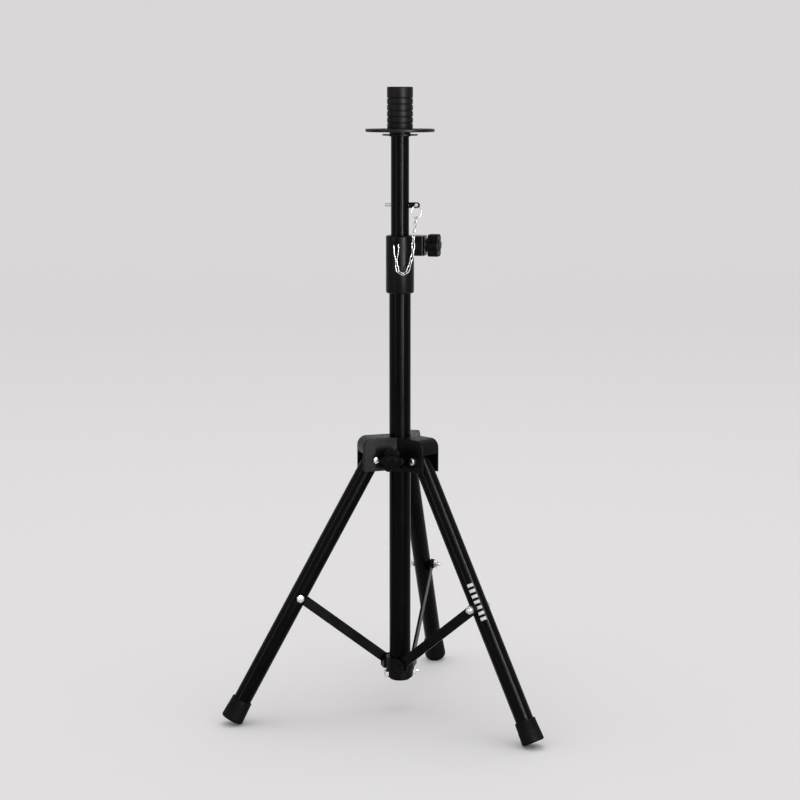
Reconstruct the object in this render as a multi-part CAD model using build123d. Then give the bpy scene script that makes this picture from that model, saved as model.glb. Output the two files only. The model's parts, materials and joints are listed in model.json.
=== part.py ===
from build123d import *
from math import atan2, ceil, cos, degrees, hypot, radians, sin, sqrt, tan
import os

# A folding tripod stand for a loudspeaker. Lengths are millimetres and angles are degrees.
# +Z points up, and the origin is on the column's axis at floor level.
# The clamp knob points along +X, and the hub's lock knob along -Y, between the two front legs.

# Clearances
running_gap = 0.08  # radial, between a shaft or a slide and its bore
fixed_gap = 0.05  # radial, between pieces that are fixed to each other
side_gap = 0.4  # between flat pieces that pass each other

# Column
column_diameter = 30.0
column_wall = 1.5
column_bottom = 47.0
column_top = 648.0
bush_length = 42.0
bush_lip = 3.0
plug_depth = 14.0
plug_wall = 3.0
plug_lip = 2.5

# Mast
mast_diameter = 25.0
mast_wall = 1.5
mast_bottom = 96.0
mast_hole_pitch = 95.0
mast_hole_count = 4
end_bush_length = 30.0
end_bush_lip = 4.0
end_bush_wall = 2.5

# Pole adapter and its rest plate
adapter_diameter = 35.5
adapter_length = 56.8
adapter_top_wall = 4.0
adapter_plain_top = 14.5
adapter_groove_count = 5
adapter_groove_width = 1.8
adapter_groove_depth = 1.1
flange_diameter = 95.0
flange_thickness = 4.2
flange_rise = 145.5  # from the collar's top to the plate's top, with the mast lowered
washer_diameter = 49.0
washer_thickness = 1.8
washer_neck_wall = 2.0
washer_neck_length = 6.2
top_plug_length = 22.0
adapter_screw_diameter = 5.0
adapter_screw_length = 20.0

# Clamp collar
collar_wall = 4.5
collar_length = 79.6
collar_rise = 30.3  # above the column's top
collar_chamfer = 1.5
boss_width = 24.0
boss_height = 27.0
boss_depth = 21.0  # out from the column's surface
boss_corner = 4.0
clamp_drop = 13.1  # below the collar's top

# Knobs and their screws, the same kind on the clamp and on the hub
knob_diameter = 33.0
knob_lobes = 6
knob_scallop = 5.6
knob_grip_length = 15.0
knob_neck_diameter = 18.0
knob_neck_length = 3.0
knob_stand_off = 1.6
cap_diameter = 17.0
cap_length = 3.0
screw_diameter = 8.0
insert_wall = 2.0
insert_length = 13.0
insert_sink = 1.0  # below the boss's face
pad_rim = 0.5  # wider than the screw, all round
pad_length = 4.0
pad_gap = 0.3

# Safety pin
pin_rise = 41.6  # above the collar's top
pin_diameter = 5.0
pin_tip_length = 9.0  # out from the mast's surface
pin_head_length = 15.1
pin_head_diameter = 8.0
pin_head_grip = 6.0
pin_eye_inset = 4.8  # from the head's end
pin_eye_diameter = 5.0
pin_eye_thickness = 2.2
ring_outer_diameter = 17.5
ring_wire = 1.2
ring_turn = 45.0

# Chain
link_length = 11.2
link_width = 5.2
link_wire = 1.1
link_slack = 0.6
hanger_length = 28.0
hanger_width = 8.0
hanger_wire = 1.2
chain_edge_x = 23.4  # where it passes the boss
chain_edge_drop = 9.0  # the corner beside the boss, below the clamp's axis
chain_low_x = 4.6
chain_drop = 89.0  # from the collar's top to the corner of its lowest bend
stud_drop = 8.8  # below the collar's top
stud_diameter = 4.0
stud_length = 7.0
stud_head_diameter = 7.6
stud_head_length = 2.2

# Leg hub
hub_bottom_drop = 15.9  # below the leg pivots
hub_height = 46.0
hub_bore_wall = 4.5
hub_arm_reach = 58.0
hub_arm_wall = 3.2
hub_roof = 6.0
hub_hood_wall = 3.4
hub_hood_depth = 20.5
hub_corner = 13.0
hub_edge = 1.2
hub_boss_width = 22.0
hub_boss_depth = 16.0  # out from the column's surface
hub_insert_length = 9.0
hub_knob_rise = 2.0  # above the leg pivots
pivot_radius = 40.5

# Legs
leg_diameter = 25.0
leg_wall = 1.5
leg_tilt = 29.69
leg_length = 415.74  # from its pivot to the foot's end
leg_head = 9.0  # of tube above the pivot
leg_side_gap = 1.3
leg_insert_length = 30.0
leg_insert_lip = 1.2
foot_wall = 1.6  # at the foot's mouth
foot_flare = 1.9  # added at its base
foot_length = 32.0
foot_base = 7.0
foot_edge = 2.2
foot_flat = 0.35
pivot_bolt_diameter = 6.0
pivot_head_width = 9.0
pivot_head_length = 3.6
pivot_nut_width = 8.0
pivot_nut_length = 4.4

# Braces
brace_bolt_distance = 220.0  # along the leg from its pivot
brace_width = 14.2
brace_thickness = 3.0
brace_side_gap = 0.35
brace_bolt_diameter = 6.0
brace_head_width = 10.0
brace_head_length = 4.0
brace_washer_diameter = 14.0
brace_washer_length = 2.3
brace_nut_width = 10.0
brace_nut_length = 4.8
brace_bolt_tip = 4.2

# Lower bracket
bracket_wall = 5.5
bracket_bottom = 48.0
bracket_height = 30.0
bracket_skirt_wall = 3.3
bracket_skirt_height = 12.0
brace_foot_offset = 0.6  # least distance of the lower pivots from the column's surface
brace_column_gap = 0.4  # least distance of the brace's rounded end from the column
brace_foot_height = 70.0
lug_end_radius = 7.4
lug_inner_wall = 8.95
lug_outer_wall = 3.0
lug_drop = 10.0
lug_pin_grip = 4.45  # held in the lug's inner wall
lug_pin_diameter = 5.0
lug_pin_stand = 1.0  # proud of the lug's outer face
bracket_bolt_height = 53.5
bracket_bolt_diameter = 6.0
bracket_head_width = 10.0
bracket_head_length = 4.0
bracket_nut_width = 10.0
bracket_nut_length = 5.0
bracket_bolt_tip = 3.0

# Directions of the legs, counted anticlockwise from +X: front left, front right and rear
leg_bearings = {1: 210.0, 2: 330.0, 3: 90.0}

# Radii and heights that follow from the sizes above
column_radius = column_diameter / 2
column_bore_radius = column_radius - column_wall
mast_radius = mast_diameter / 2
mast_bore_radius = mast_radius - mast_wall
leg_radius = leg_diameter / 2
leg_bore_radius = leg_radius - leg_wall
foot_mouth_radius = leg_radius + foot_wall
foot_base_radius = foot_mouth_radius + foot_flare
collar_radius = column_radius + collar_wall
collar_top = column_top + collar_rise
collar_bottom = collar_top - collar_length
clamp_height = collar_top - clamp_drop
boss_reach = column_radius + boss_depth
stud_height = collar_top - stud_drop
insert_radius = screw_diameter / 2 + insert_wall
pad_radius = screw_diameter / 2 + pad_rim
flange_top = collar_top + flange_rise
adapter_top = flange_top + adapter_length
mast_top = adapter_top - adapter_top_wall
pin_height = collar_top + pin_rise
pin_tip_reach = mast_radius + pin_tip_length
pin_head_start = mast_radius + side_gap
pin_head_end = pin_head_start + pin_head_length
pin_eye_x = pin_head_end - pin_eye_inset
bracket_radius = column_radius + bracket_wall
bracket_skirt_radius = column_radius + bracket_skirt_wall
hub_boss_reach = column_radius + hub_boss_depth

# Sides of the brace, measured to the right of the leg's centre plane, looking outwards
brace_near = leg_radius + brace_side_gap
brace_far = brace_near + brace_thickness
lug_slot = (brace_near - side_gap, brace_far + side_gap)
lug_inner_start = lug_slot[0] - lug_inner_wall
lug_outer_end = lug_slot[1] + lug_outer_wall
lug_pin_start = lug_slot[0] - lug_pin_grip

# Seen from above, the brace passes beside the column, so its end is set back from the column's round side.
beside = max(0.0, (column_radius + brace_column_gap) ** 2 - brace_near**2)
brace_foot_radius = max(column_radius + brace_foot_offset, brace_width / 2 + sqrt(beside))
lug_reach = brace_foot_radius + lug_end_radius

# The foot's lower edge is a rounded corner that is flattened a little where it meets the floor.
tilt = radians(leg_tilt)
foot_slope = atan2(foot_flare, foot_length)
foot_corner = foot_base_radius - foot_edge * (1 + sin(foot_slope)) / cos(foot_slope)
foot_drop = foot_corner * sin(tilt) + foot_edge * (1 - cos(tilt)) - foot_flat
pivot_height = leg_length * cos(tilt) + foot_drop

# The four-bar fold: the hub climbs the column until the legs hang straight down.
brace_top_radius = pivot_radius + brace_bolt_distance * sin(tilt)
brace_top_height = pivot_height - brace_bolt_distance * cos(tilt)
brace_run = brace_top_radius - brace_foot_radius
brace_rise = brace_top_height - brace_foot_height
brace_length = hypot(brace_run, brace_rise)
brace_lean = degrees(atan2(brace_run, brace_rise))
folded_run = pivot_radius - brace_foot_radius
folded_rise = sqrt(brace_length**2 - folded_run**2)
folded_lean = degrees(atan2(folded_run, folded_rise))
hub_travel = brace_foot_height + folded_rise + brace_bolt_distance - pivot_height

hub_bottom = pivot_height - hub_bottom_drop
hub_top = hub_bottom + hub_height
arm_inner_half = leg_radius + leg_side_gap
arm_outer_half = arm_inner_half + hub_arm_wall
hub_knob_height = pivot_height + hub_knob_rise


def rod(radius, start, end, bore=0.0):
    """A round bar, or a tube when it has a bore, along Z from start to end."""
    bar = Pos(0, 0, (start + end) / 2) * Cylinder(radius, end - start)
    if bore > 0:
        bar -= Pos(0, 0, (start + end) / 2) * Cylinder(bore, end - start + 2)
    return bar


def hexagon(width, start, end):
    """A hexagonal bar along Z, width across its flats."""
    return Pos(0, 0, start) * extrude(RegularPolygon(width / 2, 6, major_radius=False), end - start)


def block(x_range, y_range, z_range):
    """A box given by its range along each axis."""
    spans = (x_range, y_range, z_range)
    sizes = [high - low for low, high in spans]
    middle = [(low + high) / 2 for low, high in spans]
    return Pos(*middle) * Box(*sizes)


def chamfered_rim(shape, height, size):
    """Chamfer the outermost round edge that lies at a height."""
    rims = [edge for edge in shape.edges().filter_by(GeomType.CIRCLE) if abs(edge.center().Z - height) < 0.01]
    return chamfer(max(rims, key=lambda edge: edge.radius), size)


def outward(shape, bearing=0.0):
    """Turn a shape made along +Z so that it points level, outwards along a bearing."""
    return Rot(0, 0, bearing) * Rot(0, 90, 0) * shape


def sideways(shape):
    """Turn a shape made along +Z so that it points to the right of a leg that runs outwards along +X."""
    return Rot(90, 0, 0) * shape


def save(name, *solids):
    """Write one named piece, or a group of identical ones."""
    flat = [solid for shape in solids for solid in shape.solids()]
    export_step(Compound(children=flat, label=name) if len(flat) > 1 else flat[0], f"parts/{name}.step")


# Column and collar

def bracket_bolt_hole():
    hole = rod(bracket_bolt_diameter / 2 + fixed_gap, -lug_reach, lug_reach)
    return Pos(0, 0, bracket_bolt_height) * outward(hole, leg_bearings[1])


def outer_tube():
    tube = rod(column_radius, column_bottom, column_top, column_bore_radius)
    return tube - bracket_bolt_hole()


def tube_mouth_bush():
    bore = mast_radius + running_gap
    liner = rod(column_bore_radius - fixed_gap, column_top - bush_length, column_top, bore)
    return liner + rod(column_radius, column_top, column_top + bush_lip, bore)


def clamp_collar():
    body = rod(collar_radius, collar_bottom, collar_top)
    body = chamfered_rim(body, collar_top, collar_chamfer)
    body = chamfered_rim(body, collar_bottom, collar_chamfer)
    boss = block((0, boss_reach), (-boss_width / 2, boss_width / 2), (collar_top - boss_height, collar_top))
    corners = boss.edges().filter_by(Axis.Z).sort_by(Axis.X)[-2:]
    body += fillet(corners, boss_corner)
    body -= rod(column_radius + fixed_gap, collar_bottom - 1, column_top + bush_lip)
    body -= rod(mast_radius + running_gap, column_top, collar_top + 1)
    body -= Pos(0, 0, clamp_height) * outward(rod(pad_radius + running_gap, 0, boss_reach))
    body -= Pos(0, 0, clamp_height) * outward(rod(insert_radius, boss_reach - insert_length, boss_reach + 1))
    stud_hole = outward(rod(stud_diameter / 2 + fixed_gap, column_radius, 2 * collar_radius), -90)
    return body - Pos(0, 0, stud_height) * stud_hole


def threaded_insert(length, reach):
    """A round insert whose bore stands for the thread, sunk below a face at a reach along +Z."""
    return rod(insert_radius, reach - length, reach - insert_sink, screw_diameter / 2 + running_gap)


def chain_stud():
    start = column_radius + fixed_gap
    neck_end = collar_radius + stud_length - stud_head_length
    stud = rod(stud_diameter / 2, start, neck_end)
    head = rod(stud_head_diameter / 2, neck_end, neck_end + stud_head_length)
    head = chamfered_rim(head, neck_end + stud_head_length, stud_head_length / 3)
    return Pos(0, 0, stud_height) * outward(stud + head, -90)


def tube_end_plug():
    bore = column_bore_radius - plug_wall
    core = rod(column_bore_radius - fixed_gap, column_bottom, column_bottom + plug_depth, bore)
    core -= bracket_bolt_hole()
    lip = rod(column_radius, column_bottom - plug_lip, column_bottom)
    return core + chamfered_rim(lip, column_bottom - plug_lip, plug_lip / 3)


# Lower bracket

def lower_bracket():
    top = bracket_bottom + bracket_height
    skirt_top = bracket_bottom + bracket_skirt_height
    body = rod(bracket_skirt_radius, bracket_bottom, skirt_top)
    body += rod(bracket_radius, skirt_top, top)
    lug_bottom = brace_foot_height - lug_drop
    for bearing in leg_bearings.values():
        lug = block((0, lug_reach), (-lug_outer_end, -lug_inner_start), (lug_bottom, brace_foot_height))
        lug += block((0, brace_foot_radius), (-lug_outer_end, -lug_inner_start), (brace_foot_height, top))
        rounded = sideways(rod(lug_end_radius, lug_inner_start, lug_outer_end))
        lug += Pos(brace_foot_radius, 0, brace_foot_height) * rounded
        body += Rot(0, 0, bearing) * lug
    body -= rod(column_radius + fixed_gap, bracket_bottom - 1, top + 1)
    slot_end = brace_width / 2 + side_gap
    for bearing in leg_bearings.values():
        slot_y = (-lug_slot[1], -lug_slot[0])
        slot = block((brace_foot_radius - slot_end, 2 * lug_reach), slot_y, (brace_foot_height, top + 5))
        slot += block((brace_foot_radius, 2 * lug_reach), slot_y, (brace_foot_height - slot_end, top + 5))
        slot += Pos(brace_foot_radius, 0, brace_foot_height) * sideways(rod(slot_end, *lug_slot))
        slot += Pos(brace_foot_radius, 0, brace_foot_height) * sideways(
            rod(lug_pin_diameter / 2 + fixed_gap, lug_pin_start, lug_outer_end + 5)
        )
        body -= Rot(0, 0, bearing) * slot
    return body - bracket_bolt_hole()


def bracket_bolt():
    seat = bracket_skirt_radius
    shank = rod(bracket_bolt_diameter / 2, -seat - bracket_nut_length - bracket_bolt_tip, seat)
    head = hexagon(bracket_head_width, seat, seat + bracket_head_length)
    return Pos(0, 0, bracket_bolt_height) * outward(shank + head, leg_bearings[1])


def bracket_nut():
    seat = bracket_skirt_radius
    nut = hexagon(bracket_nut_width, -seat - bracket_nut_length, -seat)
    nut -= rod(bracket_bolt_diameter / 2 + fixed_gap, -2 * seat, 0)
    return Pos(0, 0, bracket_bolt_height) * outward(nut, leg_bearings[1])


def brace_pivot_pin(bearing):
    pin = sideways(rod(lug_pin_diameter / 2, lug_pin_start, lug_outer_end + lug_pin_stand))
    return Rot(0, 0, bearing) * Pos(brace_foot_radius, 0, brace_foot_height) * pin


# Mast and adapter

def mast_tube():
    tube = rod(mast_radius, mast_bottom, mast_top, mast_bore_radius)
    for step in range(mast_hole_count):
        height = pin_height - step * mast_hole_pitch
        hole = rod(pin_diameter / 2 + running_gap, -mast_diameter, mast_diameter)
        tube -= Pos(0, 0, height) * outward(hole)
    return tube


def mast_end_bush():
    bore = mast_bore_radius - end_bush_wall
    core = rod(mast_bore_radius - fixed_gap, mast_bottom, mast_bottom + end_bush_length, bore)
    lip = rod(column_bore_radius - running_gap, mast_bottom - end_bush_lip, mast_bottom, bore)
    return core + lip


def mast_top_plug():
    bore = adapter_screw_diameter / 2
    return rod(mast_bore_radius - fixed_gap, mast_top - top_plug_length, mast_top, bore)


def pole_adapter():
    """The sleeve that a loudspeaker's socket drops over, with shallow grooves round it."""
    radius = adapter_diameter / 2
    sleeve = rod(radius, flange_top, adapter_top)
    sleeve = chamfered_rim(sleeve, adapter_top, 1.2)
    ribbed = adapter_length - adapter_plain_top
    pitch = ribbed / adapter_groove_count
    for index in range(adapter_groove_count):
        low = flange_top + (index + 1) * pitch - adapter_groove_width
        sleeve -= rod(radius + 1, low, low + adapter_groove_width, radius - adapter_groove_depth)
    sleeve -= rod(mast_radius + fixed_gap, flange_top - 1, mast_top)
    sleeve -= rod(adapter_screw_diameter / 2 + fixed_gap, mast_top - 1, adapter_top + 1)
    sink = Pos(0, 0, adapter_top - adapter_screw_diameter / 4) * Cone(
        adapter_screw_diameter / 2 + fixed_gap, adapter_screw_diameter + fixed_gap, adapter_screw_diameter / 2
    )
    return sleeve - sink


def adapter_screw():
    sink = adapter_screw_diameter / 2
    shank = rod(adapter_screw_diameter / 2, adapter_top - adapter_screw_length, adapter_top - sink)
    head = Pos(0, 0, adapter_top - sink / 2) * Cone(adapter_screw_diameter / 2, adapter_screw_diameter, sink)
    slot = block((-10, 10), (-0.5, 0.5), (adapter_top - 1, adapter_top + 1))
    slot += Rot(0, 0, 90) * slot
    slot &= rod(adapter_screw_diameter * 0.6, adapter_top - 2, adapter_top + 2)
    return shank + head - slot


def adapter_flange():
    disc = rod(flange_diameter / 2, flange_top - flange_thickness, flange_top, mast_radius + fixed_gap)
    disc = chamfered_rim(disc, flange_top, 0.8)
    return chamfered_rim(disc, flange_top - flange_thickness, 0.8)


def flange_washer():
    top = flange_top - flange_thickness
    bore = mast_radius + fixed_gap
    neck = rod(mast_radius + washer_neck_wall, top - washer_neck_length, top, bore)
    disc_top = top - washer_neck_length / 2
    return neck + rod(washer_diameter / 2, disc_top - washer_thickness, disc_top, bore)


# Safety pin and chain

def safety_pin():
    pin = rod(pin_diameter / 2, -pin_tip_reach, pin_head_start + pin_head_grip)
    pin = chamfered_rim_at_start(pin)
    return Pos(0, 0, pin_height) * outward(pin)


def chamfered_rim_at_start(pin):
    return chamfer(pin.edges().sort_by(Axis.Z)[0], pin_diameter / 6)


def pin_head():
    """A round grip on the pin that is flattened into an eye for the ring."""
    radius = pin_head_diameter / 2
    half = pin_eye_thickness / 2
    eye_start = pin_head_start + pin_head_grip
    grip = outward(rod(radius, pin_head_start, eye_start))
    tab = block((eye_start, pin_head_end - radius), (-half, half), (-radius, radius))
    round_end = sideways(rod(radius, -half, half))
    tab += Pos(pin_head_end - radius, 0, 0) * round_end
    tab -= Pos(pin_eye_x, 0, 0) * sideways(rod(pin_eye_diameter / 2, -5, 5))
    grip -= outward(rod(pin_diameter / 2 + fixed_gap, 0, eye_start))
    return Pos(0, 0, pin_height) * (grip + tab)


ring_radius = (ring_outer_diameter - ring_wire) / 2
ring_room = pin_eye_diameter / 2 - 0.8 * ring_wire
ring_hang = sqrt(ring_room**2 - (pin_eye_thickness / 2 * tan(radians(ring_turn))) ** 2)
ring_centre = Vector(pin_eye_x, 0, pin_height - ring_hang - ring_radius)


def pin_ring():
    ring = Torus(ring_radius, ring_wire / 2)
    return Pos(*ring_centre) * Rot(0, 0, ring_turn) * Rot(90, 0, 0) * ring


def oval_loop(length, width, wire):
    """A closed wire loop with round ends, long along X, lying in the XZ plane."""
    bend = (width - wire) / 2
    half = (length - width) / 2
    path = SlotCenterToCenter(2 * half, 2 * bend).wire()
    path = Rot(90, 0, 0) * path
    section = Pos(0, 0, bend) * Rot(0, 90, 0) * Circle(wire / 2)
    return sweep(section, path=path, transition=Transition.ROUND)


def chain_links(points, first_turn):
    """Links between successive points, each turned a quarter about the chain from the one before."""
    links = []
    for index, (start, end) in enumerate(zip(points, points[1:])):
        along = (end - start).normalized()
        plane = Plane(origin=(start + end) / 2, x_dir=along, z_dir=along.cross(Vector(0, 1, 0)))
        spin = Rot(first_turn + 90 * index, 0, 0)
        links.append(plane.location * spin * oval_loop(link_length, link_width, link_wire))
    return links


link_pitch = link_length - 2 * link_wire - link_slack
link_overlap = (link_wire + link_slack) / 2
chain_reach = collar_radius + link_width / 2 + 0.8
boss_front = boss_width / 2 + link_width / 2
hanger_top = stud_height + stud_diameter / 2 + hanger_wire + 0.05
hanger_hook = hanger_top - hanger_length + hanger_wire / 2 + link_overlap

# The chain's line: from the ring over the boss's front edge, down to its lowest bend and up to the hanger
chain_line = FilletPolyline(
    ring_centre - Vector(0, 0, ring_radius - link_overlap),
    (chain_edge_x, -boss_front - 5.0, collar_top + 1.5),
    (chain_edge_x, -boss_front - 6.6, clamp_height - chain_edge_drop),
    (chain_low_x, -chain_reach + 0.6, collar_top - chain_drop),
    (0, -chain_reach, hanger_hook),
    radius=[8.0, 12.0, 8.0],
)
link_count = ceil(chain_line.length / link_pitch)
chain_points = [chain_line @ (index / link_count) for index in range(link_count + 1)]
lowest = min(range(link_count), key=lambda index: chain_points[index].Z)


# Knobs

def knob_screw(pad_face, stand):
    """The screw from the pad's outer face into the knob that stands at a distance."""
    end = stand + knob_neck_length + knob_grip_length * 0.7
    return rod(screw_diameter / 2, pad_face, end)


def knob(stand):
    """A grip with scalloped lobes on a short neck, along +Z from a stand-off distance."""
    grip_start = stand + knob_neck_length
    grip_end = grip_start + knob_grip_length
    body = rod(knob_diameter / 2, grip_start, grip_end)
    rims = body.edges().filter_by(GeomType.CIRCLE)
    body = fillet(rims, 2.4)
    scallop_centre = knob_diameter / 2 + knob_scallop * 0.45
    for index in range(knob_lobes):
        cutter = Pos(scallop_centre, 0, 0) * rod(knob_scallop, grip_start - 1, grip_end + 1)
        body -= Rot(0, 0, (index + 0.5) * 360 / knob_lobes) * cutter
    body += rod(knob_neck_diameter / 2, stand, grip_start)
    body -= rod(screw_diameter / 2, stand - 1, stand + knob_neck_length + knob_grip_length * 0.7)
    return body - rod(cap_diameter / 2, grip_end - cap_length / 2, grip_end + 1)


def knob_cap(stand):
    """A low domed cap in the grip's end."""
    start = stand + knob_neck_length + knob_grip_length - cap_length / 2
    cap = rod(cap_diameter / 2, start, start + cap_length)
    top = [edge for edge in cap.edges().filter_by(GeomType.CIRCLE) if edge.center().Z > start + 0.1]
    return fillet(top, cap_length * 0.45)


def clamp_pad(start):
    pad = rod(pad_radius, start, start + pad_length)
    return chamfered_rim(pad, start, 0.6)


# Leg hub

def leg_hub():
    """A sleeve on the column with three hollow arms that are open below."""
    sleeve_radius = column_radius + hub_bore_wall
    body = rod(sleeve_radius, hub_bottom, hub_top)
    for bearing in leg_bearings.values():
        arm = block((0, hub_arm_reach), (-arm_outer_half, arm_outer_half), (hub_bottom, hub_top))
        outer_top = arm.edges().filter_by(Axis.Y).sort_by(Axis.X)[-2:].sort_by(Axis.Z)[-1]
        arm = fillet(outer_top, hub_corner)
        body += Rot(0, 0, bearing) * arm
    boss_bottom = hub_knob_height - hub_boss_width / 2
    boss_top = hub_knob_height + hub_boss_width / 2
    boss = block((0, hub_boss_reach), (-hub_boss_width / 2, hub_boss_width / 2), (boss_bottom, boss_top))
    body += Rot(0, 0, -90) * boss
    body = fillet(body.faces().sort_by(Axis.Z)[-1].outer_wire().edges(), hub_edge)
    inner_end = sleeve_radius + 1.2
    for bearing in leg_bearings.values():
        cavity = block(
            (inner_end, hub_arm_reach - hub_hood_wall),
            (-arm_inner_half, arm_inner_half),
            (hub_bottom - 1, hub_top - hub_roof),
        )
        outer_top = cavity.edges().filter_by(Axis.Y).sort_by(Axis.X)[-2:].sort_by(Axis.Z)[-1]
        cavity = fillet(outer_top, hub_corner - hub_hood_wall)
        cavity += block(
            (hub_arm_reach - 2 * hub_hood_wall, hub_arm_reach + 1),
            (-arm_inner_half, arm_inner_half),
            (hub_bottom - 1, hub_top - hub_hood_depth),
        )
        cavity += Pos(pivot_radius, 0, pivot_height) * sideways(
            rod(pivot_bolt_diameter / 2 + fixed_gap, -arm_outer_half - 1, arm_outer_half + 1)
        )
        body -= Rot(0, 0, bearing) * cavity
    body -= rod(column_radius + running_gap, hub_bottom - 1, hub_top + 1)
    bore = outward(rod(pad_radius + running_gap, 0, hub_boss_reach + 1), -90)
    bore += outward(rod(insert_radius, hub_boss_reach - hub_insert_length, hub_boss_reach + 1), -90)
    return body - Pos(0, 0, hub_knob_height) * bore


def leg_pivot_bolt(bearing):
    """Its head is on the right-hand side of the arm, looking outwards."""
    shank = rod(pivot_bolt_diameter / 2, -arm_outer_half - pivot_nut_length - 1, arm_outer_half)
    head = hexagon(pivot_head_width, arm_outer_half, arm_outer_half + pivot_head_length)
    return Rot(0, 0, bearing) * Pos(pivot_radius, 0, pivot_height) * sideways(shank + head)


def leg_pivot_nut(bearing):
    nut = hexagon(pivot_nut_width, -arm_outer_half - pivot_nut_length, -arm_outer_half)
    nut -= rod(pivot_bolt_diameter / 2 + fixed_gap, -2 * arm_outer_half, 0)
    return Rot(0, 0, bearing) * Pos(pivot_radius, 0, pivot_height) * sideways(nut)


# Legs and braces

def leg_place(bearing):
    """Where a leg goes that is made hanging straight down from its pivot at the origin."""
    return Rot(0, 0, bearing) * Pos(pivot_radius, 0, pivot_height) * Rot(0, -leg_tilt, 0)


def leg_tube(bearing):
    tube = rod(leg_radius, -leg_length + foot_base, leg_head, leg_bore_radius)
    tube -= sideways(rod(pivot_bolt_diameter / 2 + running_gap, -leg_diameter, leg_diameter))
    bolt_hole = sideways(rod(brace_bolt_diameter / 2 + fixed_gap, -leg_diameter, leg_diameter))
    tube -= Pos(0, 0, -brace_bolt_distance) * bolt_hole
    return leg_place(bearing) * tube


def leg_insert(bearing):
    """A plug in the leg's top that carries the pivot bolt."""
    plug = rod(leg_bore_radius - fixed_gap, leg_head - leg_insert_length, leg_head)
    lip = rod(leg_radius, leg_head, leg_head + leg_insert_lip)
    plug += chamfered_rim(lip, leg_head + leg_insert_lip, leg_insert_lip / 2)
    plug -= sideways(rod(pivot_bolt_diameter / 2 + running_gap, -leg_diameter, leg_diameter))
    return leg_place(bearing) * plug


def leg_foot(bearing):
    """A rubber cap that flares to its base, flattened where its lower edge meets the floor."""
    bottom = -leg_length
    cap = Pos(0, 0, bottom + foot_length / 2) * Cone(foot_base_radius, foot_mouth_radius, foot_length)
    low_rim = [edge for edge in cap.edges().filter_by(GeomType.CIRCLE) if edge.center().Z < bottom + 1]
    cap = fillet(low_rim, foot_edge)
    cap = chamfered_rim(cap, bottom + foot_length, 0.8)
    cap -= rod(leg_radius + fixed_gap, bottom + foot_base, bottom + foot_length + 1)
    placed = leg_place(bearing) * cap
    reach = leg_length + 2 * foot_base_radius
    return placed - block((-reach, reach), (-reach, reach), (-2 * foot_base_radius, 0))


def leg_brace_bolt(bearing):
    """The bolt's head and its shank through the leg; the brace carries the nut's end."""
    shank = rod(brace_bolt_diameter / 2, -leg_radius, leg_radius)
    head = hexagon(brace_head_width, -leg_radius - brace_head_length, -leg_radius)
    return leg_place(bearing) * Pos(0, 0, -brace_bolt_distance) * sideways(shank + head)


def brace_place(bearing):
    """Where a brace goes that is made standing straight up from its lower pivot at the origin."""
    return Rot(0, 0, bearing) * Pos(brace_foot_radius, 0, brace_foot_height) * Rot(0, brace_lean, 0)


def brace_bar(bearing):
    half = brace_width / 2
    bar = block((-half, half), (-brace_far, -brace_near), (0, brace_length))
    ends = sideways(rod(half, brace_near, brace_far))
    bar += ends
    bar += Pos(0, 0, brace_length) * ends
    bar -= sideways(rod(lug_pin_diameter / 2 + running_gap, 0, 2 * brace_far))
    bar -= Pos(0, 0, brace_length) * sideways(rod(brace_bolt_diameter / 2 + fixed_gap, 0, 2 * brace_far))
    return brace_place(bearing) * bar


def brace_washer(bearing):
    bore = brace_bolt_diameter / 2 + fixed_gap
    washer = rod(brace_washer_diameter / 2, brace_far, brace_far + brace_washer_length, bore)
    return brace_place(bearing) * Pos(0, 0, brace_length) * sideways(washer)


def brace_nut(bearing):
    """The nut with the bolt's threaded end through it."""
    start = brace_far + brace_washer_length
    nut = hexagon(brace_nut_width, start, start + brace_nut_length)
    nut += rod(brace_bolt_diameter / 2, brace_near, start + brace_nut_length + brace_bolt_tip)
    return brace_place(bearing) * Pos(0, 0, brace_length) * sideways(nut)


# Write every piece

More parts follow.
